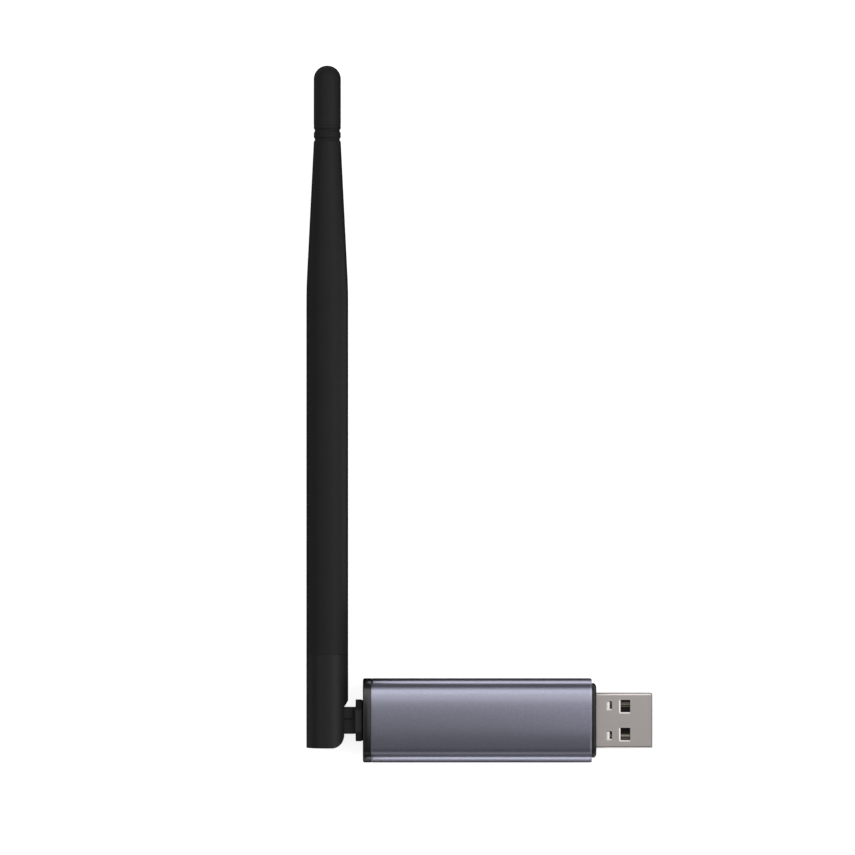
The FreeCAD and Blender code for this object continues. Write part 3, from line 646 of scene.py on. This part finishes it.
tang_end = knuckle_high.x - collar_length
tang = bmesh.new()
heights = [(knuckle_low.z + depth, inset) for depth, inset in rounded(knuckle_edge)]
heights += [(knuckle_high.z - depth, inset) for depth, inset in reversed(rounded(knuckle_edge))]
solid(tang, [[Vector((x, y, z)) for x, y in knuckle_plan(inset, tang_end)] for z, inset in heights])
line_y = (mould_line_y - mould_line / 2, mould_line_y + mould_line / 2)
along = ((hinge_x, tang_end), line_y)
beside_collar = ((tang_end - collar_groove, tang_end), (line_y[0], knuckle_half))
scores = []
for face, away in ((knuckle_high.z, 1), (knuckle_low.z, -1)):
    score_z = sorted((face - away * mould_depth, face + away * mould_depth))
    for score_x, score_y in (along, beside_collar):
        score = bmesh.new()
        block(score, score_x, score_y, score_z)
        scores.append(score)
knuckle = carved(tang, scores)
half_thick = (knuckle_high.z - knuckle_low.z) / 2
collar = [(tang_end + depth, inset) for depth, inset in rounded(collar_edge, steps=3)]
collar += [(knuckle_high.x, 0)]
solid(knuckle, [across_x(x, bar_outline(knuckle_half - inset, half_thick - inset, knuckle_edge))
                for x, inset in collar])

# Matt black elastomer-coated plastic: soft to the touch, and it scatters nearly all its gloss.
matt_black = moulded("matt_black_elastomer", "#282828", "#2d2d2d",
                     rough=0.55, texture=0.4 * mm, depth=0.009 * mm, shine=0.2)
finished("swivel_knuckle", knuckle, matt_black, "swivel", "antenna_plastic", "knuckle")

# Two short steel pins in line join the knuckle to the fork, and the thin coaxial lead passes
# between them, from the plug's ferrule through the knuckle into the hub.

# Ground steel: bright, with fine rings round it.
ground_steel = plated("ground_steel", "#c9c9c9", "#b9b9ba", rough=0.2, grit=0.3 * mm)
repaint(ground_steel, "hinge_pin_upper", "hinge_pin_lower")

# FEP cable jacket: brown-black and waxy.
cable_fep = moulded("cable_fep", "#2a1f1a", "#33271f", rough=0.35, texture=0.4 * mm, depth=0.002 * mm)
repaint(cable_fep, "plug_lead", "feed_cable")

# The hub is the antenna's foot, moulded with two ears that hold the knuckle. It turns on the pins
# from folded to straight, so its lower corner is rounded and the slot's upper end is flared.

antenna_radius = (hub_high.x - hub_low.x) / 2
hub_edge = 0.12 * mm
fork_play = 0.1 * mm
cavity_play = 0.3 * mm
flare_run = 0.72 * mm
flare_rise = 1.17 * mm
sleeve_low, sleeve_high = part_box("antenna_sleeve")
seam_y = sleeve_low.y
seam_gap = 0.02 * mm
seam_round = 0.02 * mm
sleeve_wall = 1.0 * mm
swing_clearance = 0.15 * mm


def turned(mesh, profile, steps=128):
    """Skin of a profile of radius and height turned round the antenna's axis."""
    rings = []
    for radius, y in profile:
        rings.append([Vector((hinge_x + radius * cos(2 * pi * step / steps), y,
                              axis_z + radius * sin(2 * pi * step / steps))) for step in range(steps)])
    return solid(mesh, rings)


def prism(outline, low, high):
    """Cutter with an outline seen from above, between two heights."""
    mesh = bmesh.new()
    solid(mesh, [[Vector((x, y, z)) for x, y in outline] for z in (low, high)])
    return mesh


hub = bmesh.new()
spigot_radius = antenna_radius - sleeve_wall - seam_gap
profile = [(antenna_radius - inset, hub_low.y + depth) for depth, inset in rounded(hub_edge)]
hub_seam = seam_y - seam_gap
seam_edges = rounded(seam_round, steps=2)
profile += [(antenna_radius - inset, hub_seam - depth) for depth, inset in reversed(seam_edges)]
profile += [(spigot_radius, hub_seam), (spigot_radius, hub_high.y)]
turned(hub, profile)

cavity = knuckle_half + cavity_play
fork_low, fork_high = knuckle_low.z - fork_play, knuckle_high.z + fork_play
beyond = 2 * antenna_radius
flare_x = antenna_radius - flare_run
flare_top = cavity + flare_rise * (beyond - flare_x) / flare_run
slot = arc((hinge_x, 0), cavity, 90, 180, steps=24)
slot += [(hinge_x - cavity, -beyond), (hinge_x + beyond, -beyond)]
slot += [(hinge_x + beyond, flare_top), (hinge_x + flare_x, cavity)]

# The foot's corner is rounded so far that it stays within the swing's reach from the hinge.
ear_edge = sqrt(antenna_radius ** 2 - (fork_high - axis_z) ** 2)
foot = -hub_low.y
swing_reach = foot + swing_clearance
spare = ear_edge + foot - swing_reach
foot_round = spare - sqrt(spare ** 2 - (ear_edge ** 2 + foot ** 2 - swing_reach ** 2))
centre = (hinge_x + ear_edge - foot_round, foot_round - foot)
corner = arc(centre, foot_round, -90, 0, steps=24) + [(hinge_x + beyond, centre[1])]
corner += [(hinge_x + beyond, -beyond), (centre[0], -beyond)]
cutters = [prism(slot, fork_low, fork_high), prism(corner, axis_z - beyond, axis_z + beyond)]
fork = carved(hub, cutters, hub_edge)
# Satin black nylon: harder than the sleeve over it, so it keeps a little more sheen.
satin_nylon = moulded("satin_black_nylon", "#282828", "#2d2d2d",
                      rough=0.45, texture=0.35 * mm, depth=0.012 * mm, shine=0.26)
finished("antenna_fork", fork, satin_nylon, "antenna", "antenna_plastic", "antenna_hub")

# The sleeve slides over the hub's spigot and covers the radiator: a long straight tube, a taper,
# and a domed tip below which two round grooves leave a bead. It is moulded in one soft black piece.

tip_radius = 2.97 * mm
straight_top = 94.5 * mm
taper_top = 126.5 * mm
groove_width = 1.3 * mm
groove_dip = 0.25 * mm
bead_height = 0.65 * mm
score_width = 0.26 * mm
score_depth = 0.07 * mm
score_rise = 1.0 * mm
blend = 3.0 * mm
crest = 0.02 * mm
tube_rings = 12
taper_rings = 40
taper_margin = 0.3 * mm
groove_rings = 70
groove_margin = 0.2 * mm
groove_pitch = 0.06 * mm


def sleeve_radius(y):
    """Outer radius of the sleeve, with a soft start to its taper and two rounded grooves."""
    start, end = straight_top - blend, straight_top + blend
    slope = (antenna_radius - tip_radius) / (taper_top - straight_top)
    radius = antenna_radius
    if y > end:
        radius -= slope * (min(y, taper_top) - straight_top)
    elif y > start:
        radius -= slope * (y - start) ** 2 / (4 * blend)
    for middle in (taper_top + groove_width / 2, taper_top + 1.5 * groove_width + bead_height):
        away = abs(y - middle) / (groove_width / 2)
        if away < 1:
            radius -= groove_dip * (1 + cos(pi * away)) / 2
        beside = abs(y - middle - score_rise) / (score_width / 2)
        radius -= score_depth * max(0, 1 - beside)
    return radius


sleeve = bmesh.new()
inside = antenna_radius - sleeve_wall
profile = [(crest, straight_top), (inside, straight_top), (inside, seam_y)]
profile += [(antenna_radius - inset, seam_y + depth) for depth, inset in seam_edges]
blend_start, taper_end = straight_top - blend, taper_top - taper_margin
tube_steps = [seam_y + hub_edge + (blend_start - seam_y) * step / tube_rings
              for step in range(1, tube_rings + 1)]
taper_steps = [blend_start + (taper_end - blend_start) * step / taper_rings
               for step in range(1, taper_rings + 1)]
groove_steps = [taper_top - groove_margin + step * groove_pitch for step in range(groove_rings)]
profile += [(sleeve_radius(y), y) for y in tube_steps + taper_steps + groove_steps]
dome = arc((0, sleeve_high.y - tip_radius), tip_radius, 0, 90, steps=24)
profile += dome[:-1] + [(crest, sleeve_high.y)]
turned(sleeve, profile)
finished("antenna_tube", sleeve, matt_black, "antenna", "antenna_plastic", "antenna_sleeve")

# Nylon plates centre the radiator in the sleeve.
spacer_nylon = moulded("spacer_nylon", "#cfcabc", "#dad6ca", rough=0.45, texture=0.4 * mm, depth=0.003 * mm)
repaint(spacer_nylon, "spacer_lower", "spacer_upper")

# The studio: a pale floor under the stick, one large soft light that leans towards the antenna's
# tip with dimmer ones beyond it and overhead, a small one that the case's right half reflects, and
# one on each of the other three sides.

floor_size = 6.0
floor = bmesh.new()
reach = floor_size / 2
corners = [(-reach, -reach), (reach, -reach), (reach, reach), (-reach, reach)]
floor.faces.new([floor.verts.new((x, y, case_low.z)) for x, y in corners])
floor_piece = placed("floor", floor)

# White paper: it shows as white to the camera, but lights the stick only as grey paper would, a painted
# shade on the stick's sides. In a reflection it is dimmer, with a painted shadow that darkens it close to
# the stick.
paper, tree = empty_finish("white_paper")
path = node(tree, "LightPath")
# Painted shade: to every ray but the camera's the paper is grey, so it bounces little light onto the stick.
sheet_tint = node(tree, "Mix", {"Factor": path.outputs["Is Camera Ray"], "A": linear("#7c7c7c"),
                                "B": linear("#e6e6e6")}, data_type="RGBA")
sheet = node(tree, "BsdfDiffuse", {"Color": sheet_tint.outputs["Result"]})
seen = node(tree, "MapRange", {"Value": path.outputs["Is Camera Ray"], "To Min": 0.0, "To Max": 0.85})
glow = node(tree, "Emission", {"Strength": seen.outputs["Result"]})
bright = node(tree, "AddShader", {0: sheet.outputs["BSDF"], 1: glow.outputs["Emission"]})
# Painted shadow: the reflected glow fades where the stick hides the sky from the paper.
open_sky = node(tree, "AmbientOcclusion", {"Distance": 30 * mm}, samples=8)
shade = node(tree, "MapRange", {"Value": open_sky.outputs["AO"], "From Min": 0.86, "From Max": 0.97,
                                "To Min": 0.0, "To Max": 0.45})
mirrored = node(tree, "Emission", {"Strength": shade.outputs["Result"]})
both = node(tree, "MixShader", {0: path.outputs["Is Glossy Ray"], 1: bright.outputs["Shader"],
                                2: mirrored.outputs["Emission"]})
node(tree, "OutputMaterial", {"Surface": both.outputs["Shader"]})
floor_piece.data.materials.append(paper)

# Beside the case one white card lies flat and one slopes up, and two small ones stand beside the
# plug, so that the rounded edges have something bright to reflect. A black one keeps the flat card
# out of the antenna's side. Only reflections show them. Their corners are in millimetres from the
# case's middle, and above the floor.
card_gap = 0.2 * mm
card_z = case_low.z + card_gap
card_white, tree = empty_finish("white_card")
shine = node(tree, "Emission", {"Strength": 1.3})
node(tree, "OutputMaterial", {"Surface": shine.outputs["Emission"]})
card_black, tree = empty_finish("black_card")
dark = node(tree, "Emission", {"Strength": 0.0})
node(tree, "OutputMaterial", {"Surface": dark.outputs["Emission"]})
upper_card = [(-24, 26, 0), (45, 26, 0), (45, 110, 0), (-14, 110, 0), (-24, 50, 0)]
lower_card = [(-25, -45, 0), (45, -45, 0), (45, -110, 22), (-25, -110, 22)]
flag = [(-27, 12, 0), (-27, 150, 0), (-27, 150, 6), (-27, 12, 6)]
plug_cards = [[(27, y, low), (40, y, low), (40, y, high), (27, y, high)]
              for y, low, high in ((-13, 0, 6.5), (13, 8.5, 16))]
cards = [(corners, card_white) for corners in [upper_card, lower_card] + plug_cards] + [(flag, card_black)]
for corners, cover in cards:
    card = bmesh.new()
    card.faces.new([card.verts.new((x * mm, y * mm, card_z + z * mm)) for x, y, z in corners])
    card_piece = placed("card", card)
    card_piece.data.materials.append(cover)
    card_piece.visible_camera = False
    card_piece.visible_diffuse = False
    card_piece.visible_transmission = False
    card_piece.visible_shadow = False

light_distance = 2.0


def softbox(name, azimuth, low_tilt, high_tilt, spread, radiance):
    """Area light towards a compass angle from +X, between two tilts off upright, in degrees.

    Its spread is half its width as an angle. A radiance of 1 shows as white in a mirror.
    """
    tilt = radians((low_tilt + high_tilt) / 2)
    lamp = bpy.data.lights.new(name, "AREA")
    lamp.shape = "RECTANGLE"
    lamp.size = 2 * light_distance * tan(radians(spread))
    lamp.size_y = 2 * light_distance * tan(radians((high_tilt - low_tilt) / 2))
    lamp.energy = radiance * pi * lamp.size * lamp.size_y
    made = bpy.data.objects.new(name, lamp)
    turn = radians(azimuth)
    away = Vector((cos(turn) * sin(tilt), sin(turn) * sin(tilt), cos(tilt)))
    made.location = away * light_distance
    made.rotation_mode = "QUATERNION"
    made.rotation_quaternion = away.to_track_quat("Z", "Y")
    made.visible_camera = False
    bpy.context.scene.collection.objects.link(made)


softbox("key_light", azimuth=90, low_tilt=7, high_tilt=44, spread=38, radiance=1.0)
softbox("key_edge", azimuth=90, low_tilt=45, high_tilt=56, spread=30, radiance=0.4)
softbox("top_light", azimuth=90, low_tilt=-7, high_tilt=7, spread=38, radiance=0.06)
softbox("face_light", azimuth=0, low_tilt=2.4, high_tilt=14, spread=8, radiance=0.53)
softbox("plug_light", azimuth=0, low_tilt=30, high_tilt=66, spread=30, radiance=1.3)
softbox("antenna_light", azimuth=180, low_tilt=38, high_tilt=56, spread=18, radiance=0.8)
softbox("low_light", azimuth=270, low_tilt=42, high_tilt=58, spread=35, radiance=0.26)

# The room gives a faint even light, and shows white beyond the floor.
world = bpy.data.worlds.new("studio")
bpy.context.scene.world = world
world.use_nodes = True
tree = world.node_tree
tree.nodes.clear()
path = node(tree, "LightPath")
room = node(tree, "Background", {"Color": linear("#ffffff"), "Strength": 0.08})
backdrop = node(tree, "Background", {"Color": linear("#ffffff"), "Strength": 1.0})
shown = node(tree, "MixShader", {0: path.outputs["Is Camera Ray"], 1: room.outputs["Background"],
                                 2: backdrop.outputs["Background"]})
node(tree, "OutputWorld", {"Surface": shown.outputs["Shader"]})

# The camera looks straight down through a long lens, with the antenna upright in the picture and
# the stick across its foot, so that the picture's sides have the photo's margins.

picture_width = 187.2 * mm
camera_height = 1.6
view_middle = (-11.87 * mm, 64.11 * mm)
camera = bpy.data.cameras.new("camera")
camera.sensor_width = 36.0
camera.lens = camera.sensor_width * camera_height / picture_width
camera_piece = bpy.data.objects.new("camera", camera)
camera_piece.location = (view_middle[0], view_middle[1], axis_z + camera_height)
bpy.context.scene.collection.objects.link(camera_piece)
bpy.context.scene.camera = camera_piece
bpy.context.scene.view_settings.view_transform = "Standard"
